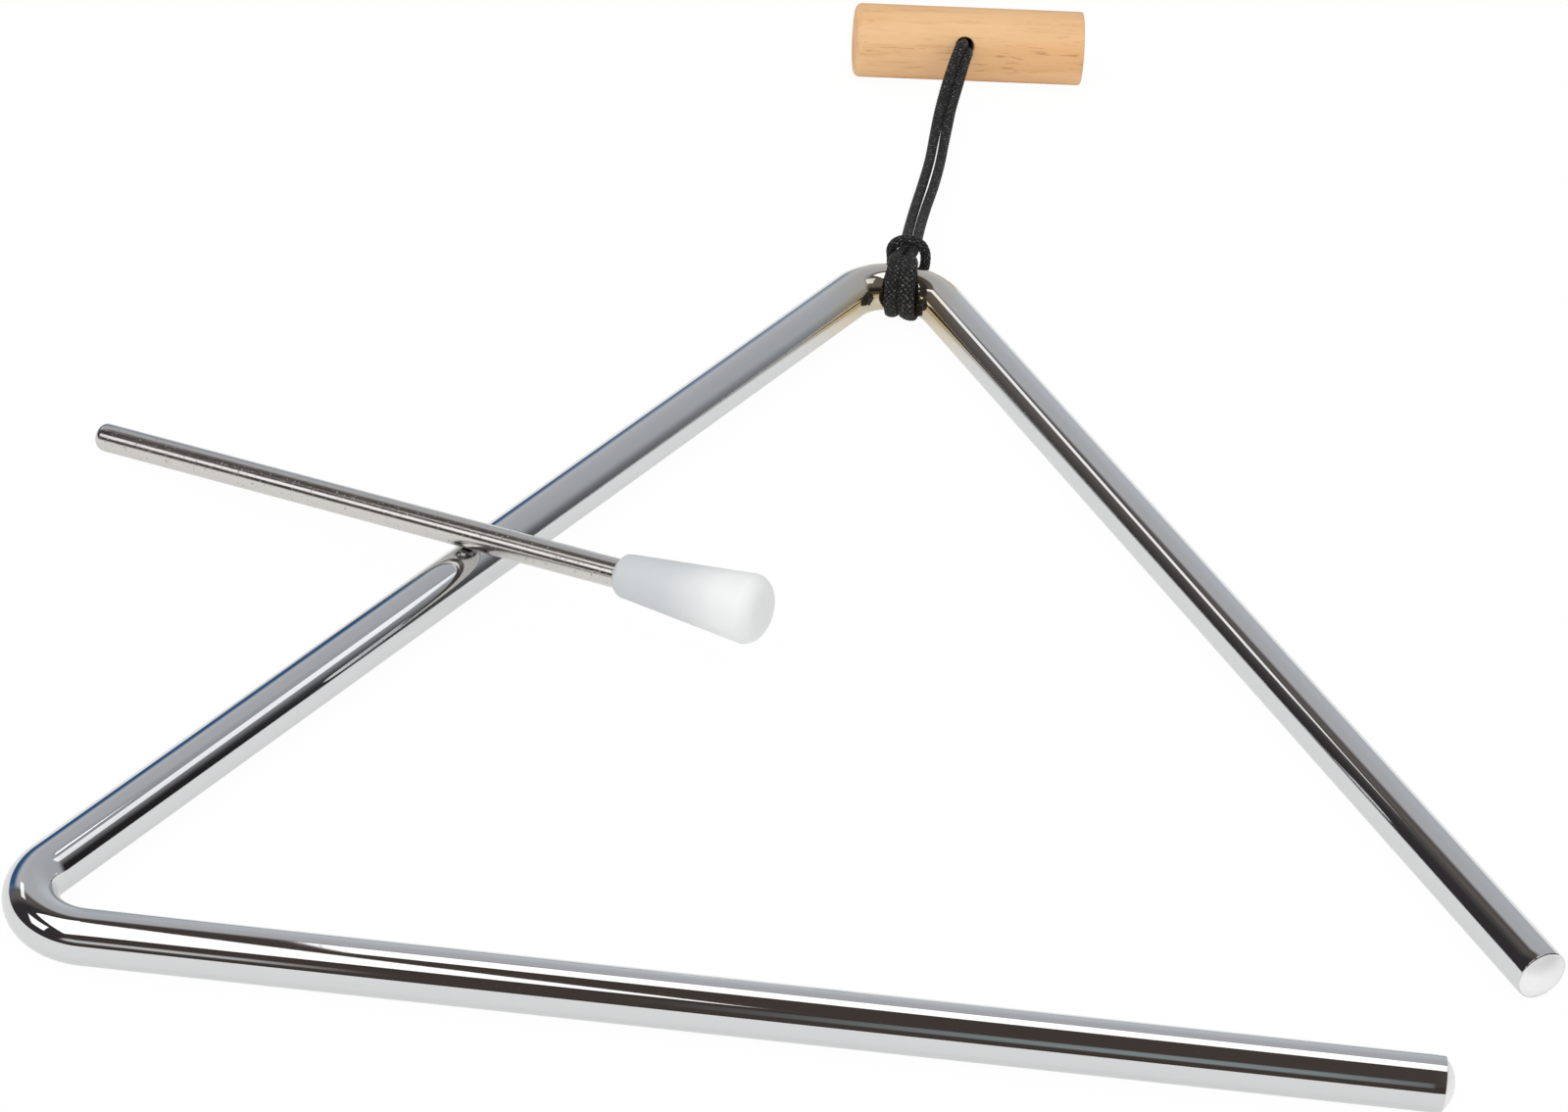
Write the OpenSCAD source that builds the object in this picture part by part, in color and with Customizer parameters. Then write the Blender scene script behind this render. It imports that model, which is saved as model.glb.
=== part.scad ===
// Triangle with its hanging cord, wooden handle and beater, as they lie on a table.
// The bar is bent twice, so its lower left and top corners are closed and its lower
// right corner is open. The cord's hitch lies under the top bend and lifts it a little.

/* [Triangle bar] */
// Diameter of the round bar
bar_d = 7; // [5:0.5:9]
// Closed side, over the outside of its two bends
side_l = 200; // [160:5:240]
// Radius of each bend, at the middle of the bar
bend_r = 8; // [7:1:14]
// How much shorter each open arm is than the closed side
open_short = 22.3; // [14:0.1:40]
// Rise of the crowned face on each open end
crown_h = 1.4; // [0.6:0.1:1.6]

/* [Wooden handle] */
// Diameter of the handle
handle_d = 12; // [10:0.5:14]
// Length of the handle
handle_l = 37.8; // [30:0.2:50]
// Rounding of the handle's end edges
handle_edge = 1; // [0.5:0.1:2]
// Diameter of the cord hole
hole_d = 3; // [2.9:0.1:4]
// How far the hole lies from the middle of the handle, towards its left end
hole_off = 1.4; // [0:0.2:4]

/* [Beater] */
// Diameter of the rod
rod_d = 4; // [3:0.5:6]
// Length of the rod, with the part inside the grip
rod_l = 100; // [90:1:120]
// Rounding of the rod's free end
rod_edge = 1.3; // [0.5:0.1:1.4]
// Length of the grip
grip_l = 22; // [20:0.5:40]
// Depth of the rod's seat in the grip
grip_seat = 14; // [10:0.2:16]
// Diameter of the grip at its thin end
grip_thin_d = 6; // [6:0.2:7]
// Diameter of the grip at its thick end
grip_thick_d = 9.5; // [8:0.5:14]
// Rounding of the edge at the grip's thin end
grip_edge = 1.2; // [0.4:0.1:1.4]
// Rounding of the edge at the grip's thick end
grip_round = 2.2; // [1:0.1:3]

/* [Cord] */
// Diameter of the cord where it is free
cord_d = 1.5; // [1.2:0.1:1.6]
// Diameter of each cord end, squeezed in the hole
squeezed_d = 1.3; // [1:0.1:1.3]
// Thickness of the cord, pressed flat on the bar
flat_t = 1; // [0.8:0.1:1.2]
// Width of the cord, pressed flat on the bar
flat_w = 1.7; // [1.4:0.1:1.8]
// Diameter of the knot behind the handle
knot_d = 4.4; // [3.6:0.2:4.6]
// Length of the knot along the hole
knot_l = 4; // [3:0.2:5]
// Length of each cord end that shows past the knot
tail_l = 5; // [3:0.5:8]

/* [Resting place] */
// Handle's middle, back from the middle of the bar's top
handle_back = 76.7; // [76:0.1:77]
// Handle's middle, to the right of the middle of the bar's top
handle_right = 7; // [6.5:0.1:7.5]
// Turn of the handle on the table, in degrees
handle_turn = 7.5; // [0:0.5:12]
// Tilt of the hole above the table, in degrees
hole_tilt = 24.5; // [20:0.5:30]
// Where the beater crosses the closed side, from the corner of the middle lines
cross_l = 98; // [80:1:120]
// Length of the beater outside the triangle, from that crossing
beater_out = 61.5; // [50:0.5:75]
// Turn of the beater on the table, in degrees
beater_turn = -25; // [-40:1:-10]

/* [Hidden] */
$fn = 64;

// Clearances: cord on the bar, rod on the bar, knot and cord ends behind what they face
snug = 0.1;
rest_gap = 0.1;
turn_gap = 0.3;
// Overrun of every cut
over = 1;

bar_r = bar_d / 2;
rod_r = rod_d / 2;
cord_r = cord_d / 2;
handle_r = handle_d / 2;

// All three corners of the middle lines are those of an equal-sided triangle
corner = 60;
// The outside of a bend lies this far inside the corner of the middle lines
corner_in = bend_r / tan(corner / 2) - bend_r - bar_r;
bend_run = bend_r / tan(corner / 2);
mid_side = side_l + 2 * corner_in;
open_arm = side_l - open_short + corner_in;
top_x = mid_side * cos(corner);
top_y = mid_side * sin(corner) - bend_r;
crown_r = (bar_r * bar_r + crown_h * crown_h) / (2 * crown_h);

// The cord under the top bend leans the bar up about the closed corner's arm
lean = asin((snug + flat_t) / top_y);
lean_y = top_y * cos(lean);

// Hole in the handle: its middle, and the way out of its front mouth
handle_at = [top_x + handle_right, lean_y + handle_back, handle_r];
along = [cos(handle_turn), sin(handle_turn), 0];
hole_at = handle_at - hole_off * along;
hole_out = [sin(handle_turn) * cos(hole_tilt), -cos(handle_turn) * cos(hole_tilt), sin(hole_tilt)];
hole_up = cross(hole_out, along);

// Beater: it rests on the bar and on the table, which gives its pitch
function unit(v) = v / norm(v);
function rod_way(pitch) =
    [cos(beater_turn) * cos(pitch), sin(beater_turn) * cos(pitch), sin(pitch)];
side_way = [cos(corner), sin(corner) * cos(lean), sin(corner) * sin(lean)];
function rod_lift(pitch) = unit(cross(rod_way(pitch), side_way)) * (bar_r + rod_r + rest_gap);
function rod_cross(pitch) = [0, 0, bar_r] + cross_l * side_way + rod_lift(pitch);
function rod_pitch(pitch, rounds) = rounds == 0 ? pitch :
    rod_pitch(asin((rod_cross(pitch).z - rod_edge - (rod_r - rod_edge) * cos(pitch))
                   / (beater_out - rod_edge)), rounds - 1);
pitch = rod_pitch(0, 8);
rod_tip = rod_cross(pitch) - beater_out * rod_way(pitch);

// The part's origin is the middle of its footprint, on the table
foot_left = rod_tip.x + rod_edge * (rod_way(pitch).x - 1)
          - (rod_r - rod_edge) * sqrt(1 - pow(rod_way(pitch).x, 2));
foot_right = top_x + (open_arm - crown_h) * cos(corner) + bar_r * sin(corner);
foot_back = handle_at.y + (handle_r - handle_edge) * cos(handle_turn)
          + (handle_l / 2 - handle_edge) * sin(handle_turn) + handle_edge;
foot = [(foot_left + foot_right) / 2, (foot_back - bar_r) / 2, 0];

// Cord route, from the middle of the bar's top: right, back, and up. The hitch's points
// count up from the middle of the bar, and the strands' points from the table.
// The cord folds at the hitch's mouth, where the strands start.
fold_back = 8.5;
fold_up = 7.5;
hitch_route = [
    [0.5, 7.4, 3.1], [0.4, 5.8, 3.4], [0.1, 4, 3.9], [-0.4, 2, 4.3], [-0.7, 0, 4.2],
    [-0.7, -2.6, 3.1], [-0.8, -4.1, 0], [-0.7, -2.9, -2.9], [-0.4, 0, -4.1],
    [-0.7, 2.9, -2.9], [-1.4, 4, 0], [-1.9, 4.7, 2], [-1.8, 5, 4.1], [-0.7, 5.2, 5.6],
    [1.2, 5.3, 6.2],
    [3.1, 5.2, 5.6], [4.2, 5, 4.1], [4.3, 4.7, 2], [3.8, 4, 0],
    [3, 2.9, -2.9], [2.4, 0, -4.1], [1.9, -2.9, -2.9], [1.8, -4.1, 0],
    [1.7, -2.6, 3.1], [1.6, 0, 4.2], [1.8, 2, 4.3], [2.1, 4, 3.9], [2.3, 5.8, 3.4], [2.4, 7.4, 3.1]];
left_route = [
    [0.5, fold_back, fold_up], [0.55, 12, 6.6], [0.8, 18, 5.3], [1.25, 25, 4.3], [1.95, 33, 3.7],
    [2.6, 41, 3.5], [3, 49, 4], [3.5, 56, 5.3], [4.25, 62, 7.1], [5.15, 67, 8.8], [5.6, 69, 9.35]];
right_route = [
    [2.2, fold_back, fold_up], [2.2, 12, 6.6], [2.45, 18, 5.3], [2.95, 25, 4.3], [3.75, 33, 3.7],
    [4.35, 41, 3.5], [4.7, 49, 3.9], [5.1, 56, 4.9], [5.85, 62, 6.4], [6.5, 67, 7.8], [6.8, 69, 8.15]];
// Each cord end lies beside the hole's middle line: along the handle, and up
left_seat = [-0.6, 0.4];
right_seat = [0.6, -0.4];
// How far each cord end past the knot turns off the way back, in degrees
tail_turn = 16;
// The knot is widest between these shares of its length, and its back has this share of
// its widest radius
belly_from_share = 0.35;
belly_to_share = 0.65;
back_share = 0.6;
// Angles of the rings on a strand's round start, in degrees
start_angles = [20, 50];

cord_sides = 8;
loop_sides = 6;
steps_per_point = 2;

// Smooth curve through a route's points
function between(a, b, c, d, t) = 0.5 * (2 * b + (c - a) * t + (2 * a - 5 * b + 4 * c - d) * t * t
    + (3 * b - a - 3 * c + d) * t * t * t);
function smooth(p, steps) = let (last = len(p) - 1) [
    for (i = [0 : last - 1]) for (s = [0 : steps - 1])
        between(p[max(i - 1, 0)], p[i], p[i + 1], p[min(i + 2, last)], s / steps),
    p[last]];
function way(p, i) = unit(p[min(i + 1, len(p) - 1)] - p[max(i - 1, 0)]);

// A ring round a point, with a flat side facing out and the given half widths
function ring(at, out, forward, half_w, half_t, sides) =
    let (up = unit(out - forward * (out * forward)), side = cross(forward, up),
         angles = [for (k = [0 : sides - 1]) 90 + (k + 0.5) * 360 / sides],
         widest = max([for (a = angles) cos(a)]), tallest = cos(180 / sides))
    [for (a = angles) at + side * half_w * cos(a) / widest + up * half_t * sin(a) / tallest];
function at_table(p) = [for (q = p) [top_x + q.x, lean_y + q.y, q.z]];

module tube(rings) {
    n = len(rings[0]);
    last = len(rings) - 1;
    polyhedron(
        points = [for (r = rings) each r],
        faces = concat(
            [[for (k = [0 : n - 1]) k]],
            [for (i = [0 : last - 1]) for (k = [0 : n - 1])
                each [[i * n + k, (i + 1) * n + k, i * n + (k + 1) % n],
                      [i * n + (k + 1) % n, (i + 1) * n + k, (i + 1) * n + (k + 1) % n]]],
            [[for (k = [n - 1 : -1 : 0]) last * n + k]]));
}

// The hitch's points are pushed out to the bar's surface where they would sink into it
bend_mid = [0, -bend_r, 0];
function bar_mid(p) = bend_mid + bend_r * unit([p.x, p.y, 0] - bend_mid);
function seated(p) = let (m = bar_mid(p), d = norm(p - m), least = bar_r + snug + flat_t / 2)
    d < least ? m + (p - m) * least / d : p;
function pressed(p) = let (d = norm(p - bar_mid(p)) - bar_r - snug)
    min(max((cord_r - d) / (cord_r - flat_t / 2), 0), 1);
hitch_path = [for (p = smooth(hitch_route, steps_per_point)) seated(p)];
hitch_rings = [for (i = [0 : len(hitch_path) - 1])
    let (p = hitch_path[i], f = pressed(p))
    ring(p, p - bar_mid(p), way(hitch_path, i), cord_r + f * (flat_w / 2 - cord_r),
         cord_r + f * (flat_t / 2 - cord_r), loop_sides)];

// Least gap of the hitch to itself, between rings that aren't neighbours
far_rings = 5;
function ring_gap(a, b) = min([for (p = a) for (q = b) norm(p - q)]);
hitch_gap = min([for (i = [0 : len(hitch_rings) - 1 - far_rings])
    for (j = [i + far_rings : len(hitch_rings) - 1]) ring_gap(hitch_rings[i], hitch_rings[j])]);
echo(hitch_gap = hitch_gap);

// A strand starts with a round end at the fold and runs through the hole to the knot
function hole_point(seat, out) = hole_at + out * hole_out + seat.x * along + seat.y * hole_up;
knot_out = -(handle_r + turn_gap);
function strand_path(route, seat) = smooth(concat(at_table(route),
    [hole_point(seat, handle_r), hole_point(seat, 0), hole_point(seat, knot_out)]), steps_per_point);
function strand_r(i, count) = i < count - 2 * steps_per_point - 1 ? cord_r : squeezed_d / 2;
function strand_rings(path) = concat(
    [for (a = start_angles) let (forward = way(path, 0))
        ring(path[0] - forward * cord_r * cos(a), [0, 0, 1], forward, cord_r * sin(a),
             cord_r * sin(a), cord_sides)],
    [for (i = [0 : len(path) - 1]) let (r = strand_r(i, len(path)))
        ring(path[i], [0, 0, 1], way(path, i), r, r, cord_sides)]);

// Points of a round edge, from one angle to another
edge_step = 15;
function arc(middle, r, from, to) =
    [for (a = [from : edge_step : to]) middle + r * [cos(a), sin(a)]];

// Round bar along +Z with rounded edges at its two ends
module edged_bar(r, l, edge) {
    rotate_extrude() polygon(concat([[0, 0]], arc([r - edge, edge], edge, -90, 0),
        arc([r - edge, l - edge], edge, 0, 90), [[0, l]]));
}

// An open arm along +X, from a bend to its crowned end
crown_steps = 5;
module open_arm() {
    half = asin(bar_r / crown_r);
    rotate([0, 90, 0]) rotate_extrude() polygon(concat([[0, bend_run], [bar_r, bend_run]],
        [for (i = [0 : crown_steps]) let (a = half * (1 - i / crown_steps))
            [crown_r * sin(a), open_arm - crown_r + crown_r * cos(a)]]));
}

// A bend about its own middle, turned to where its round stretch starts. The bar draws
// a hair thinner there, so the bend's two ends lap into the arms.
bend_thin = 0.02;
bend_lap = 0.4;
module bend(middle, start) {
    lap = asin(bend_lap / bend_r);
    translate(middle) rotate(start - lap) rotate_extrude(angle = 180 - corner + 2 * lap)
        translate([bend_r, 0]) circle(bar_r - bend_thin);
}

module leaned() {
    translate([0, 0, bar_r]) rotate([lean, 0, 0]) children();
}

module triangle_bar() {
    color([0.78, 0.79, 0.81]) leaned() {
        open_arm();
        bend([bend_run, bend_r], 90 + corner);
        rotate(corner) translate([bend_run, 0]) rotate([0, 90, 0])
            cylinder(r = bar_r, h = mid_side - 2 * bend_run);
        bend([top_x, top_y - bend_r], corner / 2);
        translate([top_x, mid_side * sin(corner)]) rotate(-corner) open_arm();
    }
}

module cord_hitch() {
    color([0.1, 0.1, 0.11]) leaned() translate([top_x, top_y]) tube(hitch_rings);
}

module cord_strand_left() {
    color([0.13, 0.13, 0.14]) tube(strand_rings(strand_path(left_route, left_seat)));
}

module cord_strand_right() {
    color([0.16, 0.16, 0.17]) tube(strand_rings(strand_path(right_route, right_seat)));
}

// Knot of the two cord ends behind the handle, with the ends lying on the table
module stopper_knot() {
    face_r = norm(left_seat) + squeezed_d / 2;
    belly_r = knot_d / 2;
    knot_mid = hole_at + (knot_out - knot_l / 2) * hole_out;
    color([0.1, 0.1, 0.11]) {
        translate(hole_at + knot_out * hole_out)
            rotate([90 - hole_tilt, 0, handle_turn]) rotate([180, 0, 0])
                rotate_extrude() polygon([[0, 0], [face_r, 0],
                    [belly_r, knot_l * belly_from_share], [belly_r, knot_l * belly_to_share],
                    [belly_r * back_share, knot_l], [0, knot_l]]);
        for (turn = [-tail_turn, tail_turn])
            translate([knot_mid.x, knot_mid.y, cord_r + snug]) rotate([-90, 0, turn])
                cylinder(r = cord_r, h = tail_l + belly_r);
    }
}

module wooden_handle() {
    color([0.87, 0.7, 0.5]) difference() {
        translate(handle_at - along * handle_l / 2) rotate([0, 90, handle_turn])
            edged_bar(handle_r, handle_l, handle_edge);
        translate(hole_at - hole_out * (handle_r + over))
            rotate([90 - hole_tilt, 0, handle_turn])
                cylinder(d = hole_d, h = handle_d + 2 * over);
    }
}

// The beater's own frame runs along +Z from the rod's free end
module on_bar() {
    translate(rod_tip) rotate([0, 90 - pitch, beater_turn]) children();
}

module beater_rod() {
    color([0.72, 0.71, 0.7]) on_bar() edged_bar(rod_r, rod_l, rod_edge);
}

// A tapered grip with rounded edges, moulded round the rod
module beater_grip() {
    thin_r = grip_thin_d / 2;
    thick_r = grip_thick_d / 2;
    color([0.93, 0.93, 0.92]) on_bar() translate([0, 0, rod_l - grip_seat]) difference() {
        rotate_extrude() polygon(concat(
            [[0, 0]],
            arc([thin_r - grip_edge, grip_edge], grip_edge, -90, 0),
            arc([thick_r - grip_round, grip_l - grip_round], grip_round, 0, 90),
            [[0, grip_l]]));
        translate([0, 0, -over]) cylinder(r = rod_r, h = grip_seat + over);
    }
}

translate(-foot) triangle_bar();
translate(-foot) cord_hitch();
translate(-foot) cord_strand_left();
translate(-foot) cord_strand_right();
translate(-foot) stopper_knot();
translate(-foot) wooden_handle();
translate(-foot) beater_rod();
translate(-foot) beater_grip();
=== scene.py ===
"""Looks of a triangle with its hanging cord, wooden handle and beater, lying on a table."""
import math

import bmesh
import bpy
import numpy as np
from mathutils import Matrix, Vector


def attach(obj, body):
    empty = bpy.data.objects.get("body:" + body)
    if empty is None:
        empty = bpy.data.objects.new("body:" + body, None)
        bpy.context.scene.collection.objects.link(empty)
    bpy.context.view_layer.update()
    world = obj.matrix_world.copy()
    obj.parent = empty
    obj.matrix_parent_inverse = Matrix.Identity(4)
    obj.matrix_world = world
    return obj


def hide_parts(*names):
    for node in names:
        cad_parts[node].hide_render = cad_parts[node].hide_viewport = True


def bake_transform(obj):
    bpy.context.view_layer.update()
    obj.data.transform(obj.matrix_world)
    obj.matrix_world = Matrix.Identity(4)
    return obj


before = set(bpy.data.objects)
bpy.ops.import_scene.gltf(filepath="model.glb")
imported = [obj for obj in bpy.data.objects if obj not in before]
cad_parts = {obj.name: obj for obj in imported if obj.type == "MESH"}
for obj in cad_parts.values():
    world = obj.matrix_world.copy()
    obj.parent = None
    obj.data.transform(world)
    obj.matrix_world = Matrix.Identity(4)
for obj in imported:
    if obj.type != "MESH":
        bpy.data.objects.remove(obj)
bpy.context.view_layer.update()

# Camera
# The photographer stood in front of the lower arm, 64 cm from the triangle, looked down on
# it by 34.5 degrees and held the camera a few degrees off level.
camera_at = Vector((0.01448618, -0.55182657, 0.36315095))
look_turn, look_down, camera_roll = (math.radians(a) for a in (1.85858, 34.49920, 4.98046))
camera_back = Vector((math.sin(look_turn) * math.cos(look_down),
                      -math.cos(look_turn) * math.cos(look_down), math.sin(look_down)))
level_right = Vector((0, 0, 1)).cross(camera_back).normalized()
level_up = camera_back.cross(level_right)
camera_right = math.cos(camera_roll) * level_right + math.sin(camera_roll) * level_up
camera_up = math.cos(camera_roll) * level_up - math.sin(camera_roll) * level_right
camera = bpy.data.objects.new("camera", bpy.data.cameras.new("camera"))
camera.data.sensor_fit = "HORIZONTAL"
camera.data.sensor_width = 36
camera.data.lens = 105.84
camera.data.clip_start = 0.01
camera.matrix_world = (Matrix.Translation(camera_at)
                       @ Matrix((camera_right, camera_up, camera_back)).transposed().to_4x4())
bpy.context.scene.collection.objects.link(camera)
bpy.context.scene.camera = camera

# Hanging cord
# One length of black braided polyester cord, 1.5 mm thick. It is doubled, its middle is
# hitched round the bar's top bend, and its two ends run through the handle to their knot.
mm = 0.001
bar_r, bend_r, closed_side, open_short = 3.5 * mm, 8 * mm, 200 * mm, 22.3 * mm
cord_r, squeezed_r = 0.75 * mm, 0.65 * mm
left_wide, right_wide, flat_thick, under_thick = 1.95 * mm, 2.7 * mm, 1.2 * mm, 0.92 * mm
corner = math.radians(60)
bend_run = bend_r / math.tan(corner / 2)
corner_in = bend_run - bend_r - bar_r
mid_side = closed_side + 2 * corner_in
# The closed corner of the bar's middle lines, and the top of its upper bend, flat
corner_at = np.array((-93.679278, -125.388283, 0)) * mm
top_at = np.array((mid_side / 2, mid_side * math.sin(corner) - bend_r, 0))
# The cord's turns under the top bend keep it off the table, so the triangle leans
under_bar = 1.1 * mm
lean = math.asin(under_bar / top_at[1])
tilt = np.array(((1, 0, 0), (0, math.cos(lean), math.sin(lean)),
                 (0, -math.sin(lean), math.cos(lean))))
top_on_table = corner_at + (top_at[0], top_at[1] * math.cos(lean), 0)


def lean_up(points):
    """Flat triangle's points, turned about the lower arm's middle line by the lean."""
    return points @ tilt + corner_at + (0, 0, bar_r)


# The handle's middle and direction, and its hole's middle, way out in front, and up
handle_r, handle_l, hole_r, hole_off = 6 * mm, 37.8 * mm, 1.5 * mm, 1.4 * mm
handle_turn, hole_tilt = math.radians(7.5), math.radians(24.5)
handle_at = top_on_table + np.array((7, 76.7, 6)) * mm
handle_way = np.array((math.cos(handle_turn), math.sin(handle_turn), 0))
hole_at = handle_at - hole_off * handle_way
hole_out = np.array((math.sin(handle_turn) * math.cos(hole_tilt),
                     -math.cos(handle_turn) * math.cos(hole_tilt), math.sin(hole_tilt)))
hole_up = np.cross(hole_out, handle_way)

# Route in millimetres from the top bend's middle: right, back and up, where the hitch counts
# up from the bar's middle and the strands count up from the table. The hitch is pulled tight
# here, while its solid keeps its turns just clear of each other.
hitch_route = np.array([
    [0.45, 7.4, 2.9], [0.2, 5.8, 2.9], [-0.3, 4, 3.3], [-0.75, 2, 3.9], [-0.8, 0, 4.1],
    [-0.92, -2.6, 3.1], [-0.87, -4.1, 0], [-0.5, -2.9, -2.9], [-0.45, 0, -4.1],
    [-0.7, 2.9, -2.9], [-1.1, 4.1, 0], [-1.35, 4.9, 2], [-1.5, 5.2, 3.6], [-0.6, 5.2, 4.85],
    [1.1, 5.1, 5.35], [2.7, 5.1, 4.8], [3.55, 5.1, 3.5], [3.75, 4.8, 1.8], [3.45, 4.1, 0],
    [2.9, 2.9, -2.9], [2.3, 0, -4.1], [1.95, -2.9, -2.9], [1.6, -4.1, 0], [1.35, -2.6, 3.1],
    [1.35, 0, 4.1], [1.4, 2, 3.9], [1.45, 4, 3.3], [1.75, 5.8, 2.9], [2.05, 7.4, 2.9]])
left_route = np.array([
    [0.5, 8.5, 7.5], [0.55, 12, 6.6], [0.8, 18, 5.3], [1.25, 25, 4.3], [1.95, 33, 3.7],
    [2.6, 41, 3.5], [3, 49, 4], [3.5, 56, 5.3], [4.25, 62, 7.1], [5.15, 67, 8.8],
    [5.6, 69, 9.35]])
right_route = np.array([
    [2.2, 8.5, 7.5], [2.2, 12, 6.6], [2.45, 18, 5.3], [2.95, 25, 4.3], [3.75, 33, 3.7],
    [4.35, 41, 3.5], [4.7, 49, 3.9], [5.1, 56, 4.9], [5.85, 62, 6.4], [6.5, 67, 7.8],
    [6.8, 69, 8.15]])
left_seat, right_seat = np.array((-0.6, 0.4)) * mm, np.array((0.6, -0.4)) * mm
left_mouth, right_mouth = np.array((-0.2, 0.5)) * mm, np.array((0.5, -0.85)) * mm
knot_face = 6.3 * mm


def hole_point(seat, out):
    """A cord's place in the hole: so far out along it, beside its middle line by the seat."""
    return hole_at + out * hole_out + seat[0] * handle_way + seat[1] * hole_up


def smooth_path(points, step):
    """Curve through the points, cut into equal steps. Each stretch is the cubic whose slope
    at a point is half the way from the point before to the point after."""
    p = np.vstack((2 * points[0] - points[1], points, 2 * points[-1] - points[-2]))
    a, b, c, d = (p[k:len(p) - 3 + k][:, None] for k in range(4))
    t = np.linspace(0, 1, 32, endpoint=False)[None, :, None]
    curve = 0.5 * (2 * b + (c - a) * t + (2 * a - 5 * b + 4 * c - d) * t ** 2
                   + (3 * b - a - 3 * c + d) * t ** 3)
    curve = np.vstack((curve.reshape(-1, 3), points[-1]))
    along = np.append(0, np.cumsum(np.linalg.norm(np.diff(curve, axis=0), axis=1)))
    even = np.linspace(0, along[-1], round(along[-1] / step) + 1)
    return np.stack([np.interp(even, along, curve[:, k]) for k in range(3)], axis=1), even


def unit(vectors):
    """Each vector over its own length."""
    return vectors / np.linalg.norm(vectors, axis=-1, keepdims=True)


def soften(rows, reach):
    """Rows averaged with their neighbours along the path by a bell-shaped weight."""
    weight = np.exp(-np.linspace(-2, 2, 2 * reach + 1) ** 2)
    padded = np.pad(rows, ((reach, reach), (0, 0)), mode="edge")
    return np.stack([np.convolve(padded[:, k], weight / weight.sum(), "valid")
                     for k in range(rows.shape[1])], axis=1)


def ring_faces(i, j, sides):
    """Four-sided faces from point j of ring i over to the next point and the next ring."""
    k = (j + 1) % sides
    return np.stack((i * sides + j, i * sides + k, (i + 1) * sides + k, (i + 1) * sides + j),
                    axis=-1).reshape(-1, 4)


def fan_faces(first, pole, sides):
    """Triangles from each side of a ring, which starts at its first point, to a pole."""
    around = np.arange(sides)
    return np.stack((first + around, first + (around + 1) % sides, np.full(sides, pole)),
                    axis=-1)


def surface(name, grid, lengths):
    """Skin over rings of points: grid[i, j] is point j of ring i, each ring closes on itself,
    and a fan from each end ring's middle closes that end. The UV map holds the share round
    the ring, and the length along it in metres."""
    rows, sides = grid.shape[:2]
    points = np.vstack((grid.reshape(-1, 3), grid[0].mean(0), grid[-1].mean(0)))
    i, j = np.meshgrid(np.arange(rows - 1), np.arange(sides), indexing="ij")
    faces = ring_faces(i, j, sides).tolist()
    share, on = j / sides, (j + 1) / sides
    low, high = lengths[i], lengths[i + 1]
    uvs = [np.stack((share, low, on, low, on, high, share, high), axis=-1).reshape(-1, 2)]
    around = np.arange(sides)
    for end in (0, 1):
        faces += fan_faces(end * (rows - 1) * sides, rows * sides + end, sides).tolist()
        level = np.full(sides, lengths[-end])
        uvs.append(np.stack((around / sides, level, (around + 1) / sides, level,
                             (around + 0.5) / sides, level), axis=-1).reshape(-1, 2))
    mesh = bpy.data.meshes.new(name)
    mesh.from_pydata(points.tolist(), [], faces)
    mesh.uv_layers.new(name="around").uv.foreach_set("vector", np.vstack(uvs).ravel())
    return finish_mesh(name, mesh)


def finish_mesh(name, mesh):
    """A new object at the origin with this mesh, without the points that no face uses, and
    with its faces smooth and pointing out."""
    shape = bmesh.new()
    shape.from_mesh(mesh)
    loose = [v for v in shape.verts if not v.link_faces]
    bmesh.ops.delete(shape, geom=loose, context="VERTS")
    bmesh.ops.recalc_face_normals(shape, faces=shape.faces)
    shape.to_mesh(mesh)
    shape.free()
    mesh.shade_smooth()
    piece = bpy.data.objects.new(name, mesh)
    bpy.context.scene.collection.objects.link(piece)
    return piece


class Amount:
    """A number that varies over a surface: sums on it add Math nodes."""

    def __init__(self, look, socket):
        self.look, self.socket = look, socket

    def sum(self, operation, a, b):
        return self.look.node("Math", {"operation": operation}, {0: a, 1: b})

    def __add__(self, other):
        return self.sum("ADD", self, other)

    def __sub__(self, other):
        return self.sum("SUBTRACT", self, other)

    def __rsub__(self, other):
        return self.sum("SUBTRACT", other, self)

    def __mul__(self, other):
        return self.sum("MULTIPLY", self, other)

    def __truediv__(self, other):
        return self.sum("DIVIDE", self, other)

    __radd__, __rmul__ = __add__, __mul__


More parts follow.
